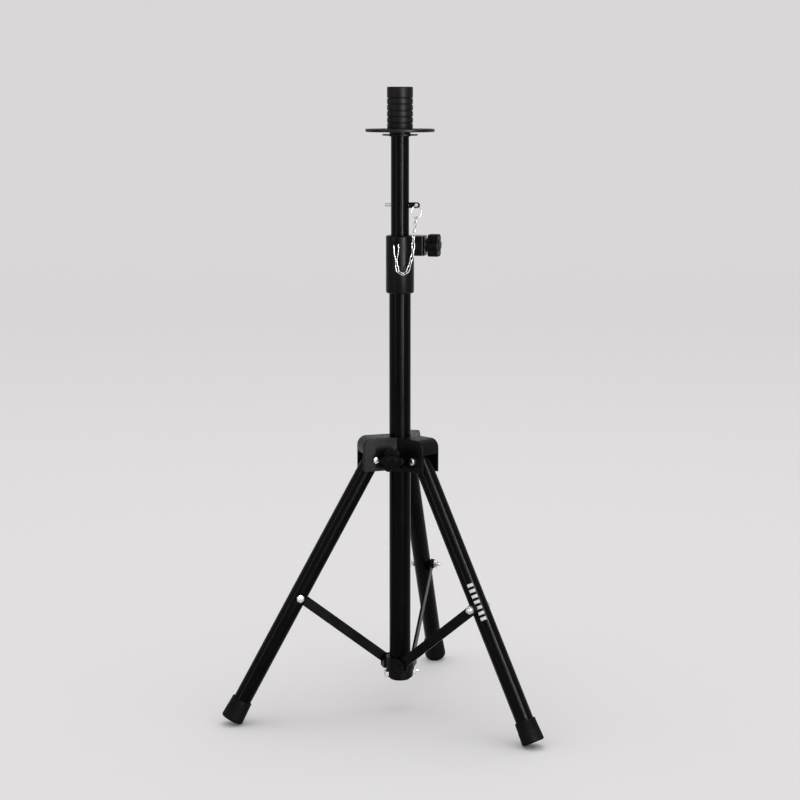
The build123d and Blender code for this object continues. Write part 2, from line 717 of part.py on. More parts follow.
def main():
    os.makedirs("parts", exist_ok=True)
    save("outer_tube", outer_tube())
    save("tube_mouth_bush", tube_mouth_bush())
    save("clamp_collar", clamp_collar())
    save("clamp_insert", Pos(0, 0, clamp_height) * outward(threaded_insert(insert_length, boss_reach)))
    save("chain_stud", chain_stud())
    save("lower_bracket", lower_bracket())
    save("bracket_bolt", bracket_bolt())
    save("bracket_nut", bracket_nut())
    save("brace_pivot_pins", *[brace_pivot_pin(bearing) for bearing in leg_bearings.values()])
    save("tube_end_plug", tube_end_plug())

    save("mast_tube", mast_tube())
    save("mast_end_bush", mast_end_bush())
    save("mast_top_plug", mast_top_plug())
    save("pole_adapter", pole_adapter())
    save("adapter_screw", adapter_screw())
    save("adapter_flange", adapter_flange())
    save("flange_washer", flange_washer())

    save("safety_pin", safety_pin())
    save("pin_head", pin_head())
    save("pin_ring", pin_ring())
    links = chain_links(chain_points, ring_turn)
    save("pin_chain", *links[:lowest])
    save("chain_tail", *links[lowest:])
    hanger = Rot(0, -90, 0) * oval_loop(hanger_length, hanger_width, hanger_wire)
    save("chain_hanger", Pos(0, -chain_reach, hanger_top - hanger_length / 2) * hanger)

    clamp_face = mast_radius + pad_gap
    clamp_stand = boss_reach + knob_stand_off
    save("clamp_pad", Pos(0, 0, clamp_height) * outward(clamp_pad(clamp_face)))
    save("clamp_screw", Pos(0, 0, clamp_height) * outward(knob_screw(clamp_face + pad_length, clamp_stand)))
    save("clamp_knob", Pos(0, 0, clamp_height) * outward(knob(clamp_stand)))
    save("clamp_knob_cap", Pos(0, 0, clamp_height) * outward(knob_cap(clamp_stand)))

    hub_face = column_radius + pad_gap
    hub_stand = hub_boss_reach + knob_stand_off
    save("leg_hub", leg_hub())
    hub_insert = threaded_insert(hub_insert_length, hub_boss_reach)
    save("hub_insert", Pos(0, 0, hub_knob_height) * outward(hub_insert, -90))
    save("leg_pivot_bolts", *[leg_pivot_bolt(bearing) for bearing in leg_bearings.values()])
    save("leg_pivot_nuts", *[leg_pivot_nut(bearing) for bearing in leg_bearings.values()])
    save("hub_pad", Pos(0, 0, hub_knob_height) * outward(clamp_pad(hub_face), -90))
    save("hub_screw", Pos(0, 0, hub_knob_height) * outward(knob_screw(hub_face + pad_length, hub_stand), -90))
    save("hub_knob", Pos(0, 0, hub_knob_height) * outward(knob(hub_stand), -90))
    save("hub_knob_cap", Pos(0, 0, hub_knob_height) * outward(knob_cap(hub_stand), -90))

    for number, bearing in leg_bearings.items():
        save(f"leg_{number}_tube", leg_tube(bearing))
        save(f"leg_{number}_insert", leg_insert(bearing))
        save(f"leg_{number}_foot", leg_foot(bearing))
        save(f"leg_{number}_brace_bolt", leg_brace_bolt(bearing))
        save(f"brace_{number}_bar", brace_bar(bearing))
        save(f"brace_{number}_washer", brace_washer(bearing))
        save(f"brace_{number}_nut", brace_nut(bearing))

    print("leg pivots at height", round(pivot_height, 2))
    print("hub travel", round(hub_travel, 3), "brace length", round(brace_length, 2))
    print("brace lean", round(brace_lean, 3), "folded", round(folded_lean, 3))


main()
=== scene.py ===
import json
import math

import bmesh
import bpy
import numpy as np
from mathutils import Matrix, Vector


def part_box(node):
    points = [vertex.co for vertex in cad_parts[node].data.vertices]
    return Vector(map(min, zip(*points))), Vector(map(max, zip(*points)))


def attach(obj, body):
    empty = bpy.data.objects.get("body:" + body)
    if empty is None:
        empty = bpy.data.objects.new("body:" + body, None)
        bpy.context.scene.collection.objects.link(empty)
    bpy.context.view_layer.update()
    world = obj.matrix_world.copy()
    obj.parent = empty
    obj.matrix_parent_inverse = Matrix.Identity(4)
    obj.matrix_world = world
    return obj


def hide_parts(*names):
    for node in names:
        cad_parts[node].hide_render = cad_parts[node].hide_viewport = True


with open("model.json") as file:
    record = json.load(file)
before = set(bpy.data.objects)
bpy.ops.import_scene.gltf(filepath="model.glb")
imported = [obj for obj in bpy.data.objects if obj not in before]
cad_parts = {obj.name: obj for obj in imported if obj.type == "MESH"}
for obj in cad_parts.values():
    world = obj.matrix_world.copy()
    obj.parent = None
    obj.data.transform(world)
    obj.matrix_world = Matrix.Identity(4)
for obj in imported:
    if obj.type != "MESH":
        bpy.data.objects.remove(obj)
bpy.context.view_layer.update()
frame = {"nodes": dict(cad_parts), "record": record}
print("frame loaded:", len(frame["nodes"]), "nodes")

behaviour = frame["record"]["behaviour"]
joints = {joint["name"]: joint for joint in behaviour["joints"]}
ratios = {entry["joint"]: entry["ratio"] for entry in behaviour["couplings"]}
hubTravel = joints["hub_slide"]["range_m"][1]
legTilt = ratios["leg_1_fold"] * hubTravel
up = np.array([0.0, 0.0, 1.0])
legNumbers = (1, 2, 3)
cadWeld = 2e-6  # CAD nodes come as loose triangles, and this joins their corners


# Shapes. Every surface is a grid of points joined by four-sided faces.

def unit(vector):
    return np.asarray(vector, float) / np.linalg.norm(vector)


def wholeTurn(count):
    return np.linspace(0, 2 * np.pi, count, endpoint=False)


def boxOf(node):
    low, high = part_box(node)
    return np.array(low), np.array(high)


def gridObject(name, points, closedAcross=True, closedAlong=False):
    # points[i, j]: i runs along the surface and j across it, and either may join its own start
    rows, columns = points.shape[:2]
    i = np.arange(rows if closedAlong else rows - 1)[:, None]
    j = np.arange(columns if closedAcross else columns - 1)[None, :]
    nextI, nextJ = (i + 1) % rows, (j + 1) % columns
    corners = [i * columns + j, i * columns + nextJ, nextI * columns + nextJ, nextI * columns + j]
    faces = np.stack([np.broadcast_to(c, (i.size, j.size)) for c in corners], axis=-1).reshape(-1, 4)
    return meshObject(name, points.reshape(-1, 3), faces)


def meshObject(name, vertices, faces):
    mesh = bpy.data.meshes.new(name)
    mesh.from_pydata(vertices.tolist(), [], faces.tolist())
    piece = bpy.data.objects.new(name, mesh)
    bpy.context.scene.collection.objects.link(piece)
    tidyMesh(piece)
    return piece


def tidyMesh(piece, weld=1e-6):
    # welds poles and seams, then turns every face outwards
    work = bmesh.new()
    work.from_mesh(piece.data)
    bmesh.ops.remove_doubles(work, verts=work.verts, dist=weld)
    bmesh.ops.dissolve_degenerate(work, edges=work.edges, dist=weld / 10)
    bmesh.ops.recalc_face_normals(work, faces=work.faces)
    work.to_mesh(piece.data)
    work.free()


def smoothByAngle(piece, degrees=35):
    piece.data.shade_smooth()
    piece.data.set_sharp_from_angle(angle=math.radians(degrees))


def joined(name, pieces):
    # one object from several, kept as separate shells
    work = bmesh.new()
    for piece in pieces:
        work.from_mesh(piece.data)
    mesh = bpy.data.meshes.new(name)
    work.to_mesh(mesh)
    work.free()
    for piece in pieces:
        bpy.data.objects.remove(piece)
    result = bpy.data.objects.new(name, mesh)
    bpy.context.scene.collection.objects.link(result)
    return result


def axesAlong(direction):
    # two unit directions square to one another and to the given direction
    nearlyUpright = abs(direction @ up) > 0.95
    first = unit(np.cross((1, 0, 0) if nearlyUpright else up, direction))
    return first, np.cross(direction, first)


def roundedProfile(corners, steps=5):
    # corners are (radius, height, rounding): each corner becomes an arc that is tangent to both its sides
    corners = np.array(corners, float)
    nearlyStraight = math.radians(89)  # half the angle at a corner that needs no arc
    points = [corners[0, :2]]
    for before, corner, after in zip(corners, corners[1:], corners[2:]):
        inward, outward = unit(before[:2] - corner[:2]), unit(after[:2] - corner[:2])
        half = math.acos(np.clip(inward @ outward, -1, 1)) / 2
        if corner[2] <= 0 or half > nearlyStraight:
            points.append(corner[:2])
            continue
        reach = corner[2] / math.tan(half)
        centre = corner[:2] + unit(inward + outward) * corner[2] / math.sin(half)
        start = corner[:2] + inward * reach - centre
        end = corner[:2] + outward * reach - centre
        for t in np.linspace(0, 1, steps + 1):
            points.append(centre + unit(start * (1 - t) + end * t) * corner[2])
    points.append(corners[-1, :2])
    return np.array(points)


def turned(name, profile, base, direction, sides=64, radiusAt=None):
    # a profile carried round an axis: each point is the base, plus its height along the axis, plus its radius
    # in the direction of its angle; radiusAt may change the radius by angle and height
    axis = unit(direction)
    first, second = axesAlong(axis)
    angle = wholeTurn(sides)[None, :]
    radius = profile[:, :1] * np.ones_like(angle)
    height = profile[:, 1:2] * np.ones_like(angle)
    if radiusAt is not None:
        radius = radiusAt(angle, radius, height)
    ring = np.cos(angle)[..., None] * first + np.sin(angle)[..., None] * second
    return gridObject(name, np.asarray(base) + height[..., None] * axis + radius[..., None] * ring)


def sweptWire(name, path, radius, sides):
    # a circle carried along a flat closed path: each point is the path's, plus the wire's radius times the
    # cosine of its angle to the path's side and the sine of its angle square to the path's plane
    ahead = np.roll(path, -1, axis=0) - np.roll(path, 1, axis=0)
    ahead /= np.linalg.norm(ahead, axis=1, keepdims=True)
    normal = unit(np.linalg.svd(path - path.mean(axis=0))[2][2])
    side = np.cross(ahead, normal)
    side /= np.linalg.norm(side, axis=1, keepdims=True)
    angle = wholeTurn(sides)
    around = np.cos(angle)[None, :, None] * side[:, None] + np.sin(angle)[None, :, None] * normal
    return gridObject(name, path[:, None] + radius * around, closedAlong=True)


def ovalPath(centre, long, wide, length, width, wire, steps=10):
    # two half circles joined by straight sides: along, half the straight length plus the bend times the
    # angle's cosine, and across, the bend times its sine; then the same turned half round
    bend = (width - wire) / 2
    half = (length - width) / 2
    angle = np.linspace(-np.pi / 2, np.pi / 2, steps)
    right = np.stack([half + bend * np.cos(angle), bend * np.sin(angle)], axis=1)
    flat = np.concatenate([right, -right])
    return centre + flat[:, :1] * long + flat[:, 1:] * wide


# Materials

def newMaterial(name):
    material = bpy.data.materials.new(name)
    material.use_nodes = True
    tree = material.node_tree
    return material, tree, tree.nodes["Principled BSDF"]


def noiseTexture(tree, scale, detail):
    place = tree.nodes.new("ShaderNodeTexCoord")
    noise = tree.nodes.new("ShaderNodeTexNoise")
    noise.inputs["Scale"].default_value = scale
    noise.inputs["Detail"].default_value = detail
    tree.links.new(place.outputs["Object"], noise.inputs["Vector"])
    return noise.outputs["Fac"]


def mapped(tree, value, fromRange, toRange):
    node = tree.nodes.new("ShaderNodeMapRange")
    node.inputs["From Min"].default_value, node.inputs["From Max"].default_value = fromRange
    node.inputs["To Min"].default_value, node.inputs["To Max"].default_value = toRange
    tree.links.new(value, node.inputs["Value"])
    return node.outputs["Result"]


def mixedColor(tree, value, low, high):
    node = tree.nodes.new("ShaderNodeMix")
    node.data_type = "RGBA"
    node.inputs[6].default_value = (*low, 1)  # in a mix of colours, sockets 6 and 7 are the two colours
    node.inputs[7].default_value = (*high, 1)
    tree.links.new(value, node.inputs[0])
    return node.outputs[2]


mottle = {"stainDetail": 4, "stainSpread": (0.35, 0.7), "smudgeDetail": 5, "smudgeSpread": (0.3, 0.75),
          "grainDetail": 2}


def finishMaterial(name, settings):
    # two colours mixed by broad stains, roughness by finer ones, and a fine grain as bump
    material, tree, shader = newMaterial(name)
    stain = noiseTexture(tree, settings["stainScale"], mottle["stainDetail"])
    spread = mapped(tree, stain, mottle["stainSpread"], (0, 1))
    stained = mixedColor(tree, spread, settings["color"], settings["stainColor"])
    tree.links.new(stained, shader.inputs["Base Color"])
    smudge = noiseTexture(tree, settings["smudgeScale"], mottle["smudgeDetail"])
    rough = mapped(tree, smudge, mottle["smudgeSpread"], settings["roughness"])
    tree.links.new(rough, shader.inputs["Roughness"])
    grain = noiseTexture(tree, settings["grainScale"], mottle["grainDetail"])
    bump = tree.nodes.new("ShaderNodeBump")
    bump.inputs["Strength"].default_value = settings["grainStrength"]
    bump.inputs["Distance"].default_value = settings["grainDepth"]
    tree.links.new(grain, bump.inputs["Height"])
    tree.links.new(bump.outputs["Normal"], shader.inputs["Normal"])
    shader.inputs["Metallic"].default_value = settings.get("metallic", 0.0)
    shader.inputs["Specular IOR Level"].default_value = settings.get("specular", 0.5)
    return material


finishes = {
    "gloss_tube": dict(color=(0.0016, 0.0015, 0.0016), stainColor=(0.003, 0.0027, 0.0028), stainScale=14,
                       roughness=(0.16, 0.28), smudgeScale=30, grainScale=900, grainStrength=0.22,
                       grainDepth=0.0001, specular=0.04),
    "black_plastic": dict(color=(0.0020, 0.0015, 0.0014), stainColor=(0.0048, 0.0036, 0.0033), stainScale=40,
                          roughness=(0.24, 0.42), smudgeScale=60, grainScale=1500, grainStrength=0.35,
                          grainDepth=0.0001, specular=0.07),
    "adapter_plastic": dict(color=(0.0026, 0.002, 0.002), stainColor=(0.006, 0.0046, 0.0044), stainScale=50,
                            roughness=(0.38, 0.55), smudgeScale=80, grainScale=1800, grainStrength=0.4,
                            grainDepth=0.0001, specular=0.09),
    "flange_paint": dict(color=(0.0035, 0.0031, 0.0031), stainColor=(0.008, 0.007, 0.0068), stainScale=30,
                         roughness=(0.32, 0.5), smudgeScale=45, grainScale=1200, grainStrength=0.4,
                         grainDepth=0.0001, specular=0.12),
    "guide_plastic": dict(color=(0.05, 0.05, 0.05), stainColor=(0.07, 0.07, 0.068), stainScale=50,
                          roughness=(0.4, 0.55), smudgeScale=60, grainScale=1500, grainStrength=0.3,
                          grainDepth=0.0001),
    "foot_rubber": dict(color=(0.0018, 0.0015, 0.0015), stainColor=(0.005, 0.0042, 0.004), stainScale=45,
                        roughness=(0.5, 0.72), smudgeScale=70, grainScale=1600, grainStrength=0.5,
                        grainDepth=0.00012, specular=0.05),
    "zinc": dict(color=(0.55, 0.55, 0.56), stainColor=(0.66, 0.65, 0.62), stainScale=120,
                 roughness=(0.2, 0.36), smudgeScale=200, grainScale=2500, grainStrength=0.2,
                 grainDepth=0.00005, metallic=1.0),
    "chain_steel": dict(color=(0.62, 0.61, 0.59), stainColor=(0.72, 0.71, 0.69), stainScale=150,
                        roughness=(0.14, 0.28), smudgeScale=260, grainScale=2500, grainStrength=0.15,
                        grainDepth=0.00004, metallic=1.0),
    "brace_paint": dict(color=(0.0016, 0.0014, 0.0014), stainColor=(0.0034, 0.0029, 0.0028), stainScale=25,
                        roughness=(0.2, 0.36), smudgeScale=40, grainScale=900, grainStrength=0.3,
                        grainDepth=0.0001, specular=0.06),
    "knob_plastic": dict(color=(0.0014, 0.0013, 0.0013), stainColor=(0.003, 0.0026, 0.0026), stainScale=60,
                         roughness=(0.3, 0.45), smudgeScale=80, grainScale=1600, grainStrength=0.35,
                         grainDepth=0.0001, specular=0.06),
    "brass": dict(color=(0.55, 0.36, 0.13), stainColor=(0.62, 0.43, 0.18), stainScale=120,
                  roughness=(0.25, 0.4), smudgeScale=200, grainScale=2500, grainStrength=0.2,
                  grainDepth=0.00005, metallic=1.0),
    "white_ink": dict(color=(0.62, 0.62, 0.61), stainColor=(0.72, 0.72, 0.71), stainScale=300,
                      roughness=(0.4, 0.6), smudgeScale=400, grainScale=2500, grainStrength=0.2,
                      grainDepth=0.00003, specular=0.4),
}
materials = {name: finishMaterial(name, settings) for name, settings in finishes.items()}
slotOf = {entry["node"]: entry["material_slot"] for entry in frame["record"]["subparts"]}
for nodeName, node in frame["nodes"].items():
    node.data.materials.clear()
    node.data.materials.append(materials[slotOf[nodeName]])
print("materials made:", len(materials))


# Pieces that replace plain CAD nodes or add what they lack

def dress(piece, body, slot, *replaced, degrees=35):
    # finish, place in the mechanism and hide the CAD nodes that a piece replaces
    smoothByAngle(piece, degrees)
    piece.data.materials.clear()
    piece.data.materials.append(materials[slot])
    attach(piece, body)
    if replaced:
        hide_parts(*replaced)


softening = {"segments": 2, "sharperThan": 40, "flatWithin": 1}


def softenedCopy(node, body, width):
    # a welded copy of a CAD node with its sharp edges rounded
    source = frame["nodes"][node]
    piece = bpy.data.objects.new(node + "_moulded", source.data.copy())
    bpy.context.scene.collection.objects.link(piece)
    work = bmesh.new()
    work.from_mesh(piece.data)
    bmesh.ops.remove_doubles(work, verts=work.verts, dist=cadWeld)
    flat = math.radians(softening["flatWithin"])
    bmesh.ops.dissolve_limit(work, angle_limit=flat, verts=work.verts, edges=work.edges, delimit={"SHARP"})
    work.to_mesh(piece.data)
    work.free()
    bevel = piece.modifiers.new("edges", "BEVEL")
    bevel.width, bevel.segments = width, softening["segments"]
    bevel.limit_method, bevel.angle_limit = "ANGLE", math.radians(softening["sharperThan"])
    bevel.use_clamp_overlap = True
    dress(piece, body, slotOf[node], node)


def densified(profile, step):
    # the same line with points no further apart than a step
    points = [profile[0]]
    for start, end in zip(profile, profile[1:]):
        count = max(1, math.ceil(np.linalg.norm(end - start) / step))
        points += [start + (end - start) * k / count for k in range(1, count + 1)]
    return np.array(points)


# neck and neckLength are shares of the knob's radius and length; the recess takes the cap
knobShape = {"lobes": 6, "scallop": 0.0045, "sharpness": 2.2, "edge": 0.0015, "neck": 0.58,
             "neckLength": 0.17, "neckEdge": 0.0006, "shoulder": 0.0012, "recessGap": 0.0006,
             "recessEdge": 0.0005,
             "recessTaper": 0.0002, "recessDepth": 0.0012, "floorDepth": 0.0014, "floorEdge": 0.0003,
             "step": 0.0011}
capShape = {"footEdge": 0.0002, "wall": 0.0019, "edge": 0.0011, "crownShare": 0.6, "shoulderHeight": 0.0027,
            "crownEdge": 0.004, "height": 0.0028, "sink": 0.0013}


def lobedKnob(node, body, capNode):
    # the profile's radius, less the scallop times a wave to the power of its sharpness, faded in over the
    # grip; the wave is half of one less the cosine of the angle times the number of lobes
    low, high = boxOf(node)
    axis = np.array(joints[body.replace("handle", "knob_turn")]["axis"], float)
    middle = (low + high) / 2
    span = abs((high - low) @ axis)
    radius = (high[2] - low[2]) / 2
    base = middle - axis * span / 2
    neck, neckLength = radius * knobShape["neck"], span * knobShape["neckLength"]
    capLow, capHigh = boxOf(capNode)
    capRadius = (capHigh[2] - capLow[2]) / 2
    edge = knobShape["edge"]
    recess = capRadius + knobShape["recessGap"]
    profile = roundedProfile([
        (0, 0, 0), (neck, 0, knobShape["neckEdge"]), (neck, neckLength, knobShape["shoulder"]),
        (radius, neckLength, edge), (radius, span, edge), (recess, span, knobShape["recessEdge"]),
        (recess - knobShape["recessTaper"], span - knobShape["recessDepth"], knobShape["floorEdge"]),
        (0, span - knobShape["floorDepth"], 0)], 6)
    fine = densified(profile, knobShape["step"])

    def cutAt(angle, across, height):
        cut = ((1 - np.cos(knobShape["lobes"] * angle)) / 2) ** knobShape["sharpness"]
        grip = np.clip((across - neck) / (radius - neck), 0, 1)
        return across - knobShape["scallop"] * cut * grip

    grip = turned(node + "_grip", fine, base, axis, 96, cutAt)
    dress(grip, body, "knob_plastic", node, degrees=50)
    dome = roundedProfile([
        (0, 0, 0), (capRadius, 0, capShape["footEdge"]), (capRadius, capShape["wall"], capShape["edge"]),
        (capRadius * capShape["crownShare"], capShape["shoulderHeight"], capShape["crownEdge"]),
        (0, capShape["height"], 0)], 6)
    top = turned(capNode + "_dome", dome, base + axis * (span - capShape["sink"]), axis, 64)
    dress(top, body, "knob_plastic", capNode)


lobedKnob("clamp_knob", "clamp_handle", "clamp_knob_cap")
lobedKnob("hub_knob", "hub_handle", "hub_knob_cap")
print("knobs made")


adapterShape = {"grooves": 5, "plainTop": 0.0145, "grooveWidth": 0.0018, "grooveDepth": 0.0011,
                "edge": 0.0014, "gap": 0.00005, "footTaper": 0.0003, "footEdge": 0.0005,
                "ridgeEdge": 0.0006, "grooveEdge": 0.0004, "grooveSlope": 0.0003, "sinkRadius": 0.0048,
                "sinkBevel": 0.0012, "sinkDepth": 0.0011,
                "sinkEdge": 0.0004, "sinkFloorEdge": 0.0003}


def poleAdapter():
    # a sleeve turned from an outline that steps in at each groove, with every corner rounded
    low, high = boxOf("pole_adapter")
    mastLow, mastHigh = boxOf("mast_tube")
    radius, length = (high[0] - low[0]) / 2, high[2] - low[2]
    bore = (mastHigh[0] - mastLow[0]) / 2 + adapterShape["gap"]
    depth, width = adapterShape["grooveDepth"], adapterShape["grooveWidth"]
    pitch = (length - adapterShape["plainTop"]) / adapterShape["grooves"]
    ridgeEdge, grooveEdge = adapterShape["ridgeEdge"], adapterShape["grooveEdge"]
    slope = adapterShape["grooveSlope"]
    corners = [(bore, 0.0, 0), (radius - adapterShape["footTaper"], 0, adapterShape["footEdge"])]
    for index in range(adapterShape["grooves"]):
        end = (index + 1) * pitch
        start = end - width
        corners += [(radius, start, ridgeEdge), (radius - depth, start + slope, grooveEdge),
                    (radius - depth, end - slope, grooveEdge), (radius, end, ridgeEdge)]
    sink, floor = adapterShape["sinkRadius"], length - adapterShape["sinkDepth"]
    corners += [(radius, length, adapterShape["edge"]),
                (sink + adapterShape["sinkBevel"], length, adapterShape["sinkEdge"]),
                (sink, floor, adapterShape["sinkFloorEdge"]), (0, floor, 0)]
    sleeve = turned("pole_adapter_sleeve", roundedProfile(corners, 4), (0, 0, low[2]), up, 128)
    dress(sleeve, "mast", "adapter_plastic", "pole_adapter")


def pointsOf(mesh):
    points = np.zeros(len(mesh.vertices) * 3, np.float32)
    mesh.vertices.foreach_get("co", points)
    return points.reshape(-1, 3)


def nodePoints(node):
    return pointsOf(frame["nodes"][node].data).astype(float)


def distancesFrom(points, origin, direction):
    # how far each point is from an axis
    along = (points - origin) @ direction
    return np.linalg.norm(points - origin - along[:, None] * direction, axis=1)


def spanAlong(points, origin, direction):
    # where points start and end along an axis, and how far they reach from it
    along = (points - origin) @ direction
    return along.min(), along.max(), distancesFrom(points, origin, direction).max()


def islandsOf(node):
    # the points of each separate solid in a node
    work = bmesh.new()
    work.from_mesh(frame["nodes"][node].data)
    bmesh.ops.remove_doubles(work, verts=work.verts, dist=cadWeld)
    work.verts.ensure_lookup_table()
    seen, groups = set(), []
    for start in work.verts:
        if start.index in seen:
            continue
        stack, members = [start], []
        seen.add(start.index)
        while stack:
            vertex = stack.pop()
            members.append(tuple(vertex.co))
            for edge in vertex.link_edges:
                other = edge.other_vert(vertex)
                if other.index not in seen:
                    seen.add(other.index)
                    stack.append(other)
        groups.append(np.array(members))
    work.free()
    return groups


poleAdapter()
print("pole adapter made")


# ribStart is a share of the foot's length, and the tread's two radii are shares of its base
footShape = {"edge": 0.0026, "lip": 0.0010, "ribs": 4, "ribStart": 0.6, "ribWidth": 0.0016,
             "ribDepth": 0.00045, "ribPitch": 0.0030, "ribEdge": 0.0003, "ribFloorEdge": 0.0004,
             "mouthShare": 0.1, "mouthGrowth": 0.0004, "gap": 0.0001, "treadDepth": 0.0012,
             "treadInner": 0.60, "treadOuter": 0.68, "treadEdge": 0.0006, "boreEdge": 0.0005,
             "boreDepth": 0.004}


def legDirections(number):
    # a leg's pivot, the direction to its right and the direction down along it
    pivot = np.array(joints[f"leg_{number}_fold"]["pos_m"], float)
    outward = unit(pivot * (1, 1, 0))
    right = np.array([outward[1], -outward[0], 0])
    down = math.sin(legTilt) * outward - math.cos(legTilt) * up
    return pivot, right, down


def legFoot(number):
    # a turned cap with shallow rings near its mouth, flattened level where it stands on the floor
    pivot, right, down = legDirections(number)
    node = f"leg_{number}_foot"
    points = nodePoints(node)
    start, end, radius = spanAlong(points, pivot, down)
    tube = spanAlong(nodePoints(f"leg_{number}_tube"), pivot, down)[2]
    length, bore = end - start, tube + footShape["gap"]
    atMouth = (points - pivot) @ down < start + length * footShape["mouthShare"]
    mouthRadius = spanAlong(points[atMouth], pivot, down)[2] + footShape["mouthGrowth"]

    def side(height):
        return radius + (mouthRadius - radius) * height / length

    tread, treadEdge = footShape["treadDepth"], footShape["treadEdge"]
    corners = [(0, tread, 0), (radius * footShape["treadInner"], tread, treadEdge),
               (radius * footShape["treadOuter"], 0, treadEdge), (radius, 0, footShape["edge"])]
    for index in range(footShape["ribs"]):
        at = length * footShape["ribStart"] + index * footShape["ribPitch"]
        half = footShape["ribWidth"] / 2
        corners += [(side(at - half), at - half, footShape["ribEdge"]),
                    (side(at) - footShape["ribDepth"], at, footShape["ribFloorEdge"]),
                    (side(at + half), at + half, footShape["ribEdge"])]
    boreEnd = length - footShape["boreDepth"]
    corners += [(mouthRadius, length, footShape["lip"]), (bore, length, footShape["boreEdge"]),
                (bore, boreEnd, 0), (0, boreEnd, 0)]
    cap = turned(node + "_cap", roundedProfile(corners, 4), pivot + down * end, -down, 96)
    level = pointsOf(cap.data)
    level[:, 2] = np.maximum(level[:, 2], 0)
    cap.data.vertices.foreach_set("co", level.ravel())
    dress(cap, f"leg_{number}", "foot_rubber", node, degrees=40)


for number in legNumbers:
    legFoot(number)
print("feet made")


def chainPieces(node, body):
    # each link's place is read from its own solid: its longest, middle and shortest directions
    links = []
    for index, points in enumerate(islandsOf(node)):
        directions = np.linalg.svd(points - points.mean(axis=0), full_matrices=False)[2]
        reach = points @ directions.T
        length, width, wire = np.ptp(reach, axis=0)
        centre = (reach.max(axis=0) + reach.min(axis=0)) / 2 @ directions
        path = ovalPath(centre, directions[0], directions[1], length, width, wire)
        links.append(sweptWire(f"{node}_link_{index}", path, wire / 2, 10))
    chain = joined(node + "_links", links)
    dress(chain, body, "chain_steel", node, degrees=60)


chainPieces("pin_chain", "pin")
chainPieces("chain_tail", "column")


def keyRing():
    # one round turn of wire: the centre, plus the ring's radius times the cosine of the angle in one
    # direction of its plane and the sine in the other
    points = islandsOf("pin_ring")[0]
    centre = (points.max(axis=0) + points.min(axis=0)) / 2
    first, second, normal = np.linalg.svd(points - centre, full_matrices=False)[2]
    wire = np.ptp(points @ normal)
    radius = np.ptp(points @ up) / 2 - wire / 2
    angle = wholeTurn(96)
    path = centre + radius * (np.cos(angle)[:, None] * first + np.sin(angle)[:, None] * second)
    ring = sweptWire("pin_ring_wire", path, wire / 2, 12)
    dress(ring, "pin", "chain_steel", "pin_ring", degrees=60)


hangerTaper = 0.42  # widens the wire loop towards its top and narrows its foot


def chainHanger():
    # a teardrop of wire: its height falls and rises with the cosine of the angle, and its width goes with the
    # sine times one less the taper times the cosine, scaled to the loop's full width
    low, high = boxOf("chain_hanger")
    wire, wide = high[1] - low[1], high[0] - low[0]
    centre = (low + high) / 2
    angle = wholeTurn(72)
    shape = np.sin(angle) * (1 - hangerTaper * np.cos(angle))
    across = (wide - wire) / 2 * shape / np.abs(shape).max()
    height = -np.cos(angle) * ((high[2] - low[2]) - wire) / 2
    path = np.stack([centre[0] + across, np.full_like(angle, centre[1]), centre[2] + height], axis=1)
    loop = sweptWire("chain_hanger_wire", path, wire / 2, 12)
    dress(loop, "column", "chain_steel", "chain_hanger", degrees=60)


keyRing()
chainHanger()
print("chain made")


hexCorner = math.cos(math.pi / 6)  # from a hexagon's middle, a flat is this share of a corner's distance
# lengths here are shares of the width across the flats, or of the chamfer
hexShape = {"chamfer": 0.085, "cornerCut": 0.2, "outerCut": 0.9, "faceCut": 2.1, "domeRise": 0.25,
            "domeTop": 0.3, "domeRadius": 0.25}
# overlap is a length; depth and endRise are shares of the pitch, endRadius and endCut of the radius, and
# the thread fades out over its last pitch
threadShape = {"pitch": 0.001, "depth": 0.55, "pointsPerPitch": 8, "endRadius": 0.55, "endRise": 0.1,
               "endCut": 0.16, "overlap": 0.001}
washerShape = {"innerEdge": 0.0004, "outerEdge": 0.0007}


def hexRadius(angle, width):
    # from the axis to the hexagon's side: half its width over the cosine of the angle from the flat's middle
    flat = np.mod(angle + np.pi / 6, np.pi / 3) - np.pi / 6
    return width / 2 / np.cos(flat)


def hexPiece(name, base, direction, width, start, end, bore=0.0, domed=True):
    # the radius is the smaller of the hexagon's own and a cone's that chamfers its outer end
    chamfer = width * hexShape["chamfer"]
    corner = width / 2 / hexCorner
    heights = np.array([start, start, start + chamfer, (start + end) / 2, end - chamfer, end - chamfer / 2,
                        end, end])
    limit = np.array([bore, corner - chamfer * hexShape["cornerCut"], corner, corner, corner,
                      corner - chamfer * hexShape["outerCut"], corner - chamfer * hexShape["faceCut"], bore])
    if domed:
        dome = [end + chamfer * hexShape["domeRise"], end + chamfer * hexShape["domeTop"]]
        heights = np.append(heights[:-1], dome)
        limit = np.append(limit[:-1], [width * hexShape["domeRadius"], 0])

    def shaped(angle, radius, height):
        return np.minimum(radius, hexRadius(angle, width))

    profile = np.stack([limit, heights], axis=1)
    return turned(name, profile, base, direction, 72, shaped)


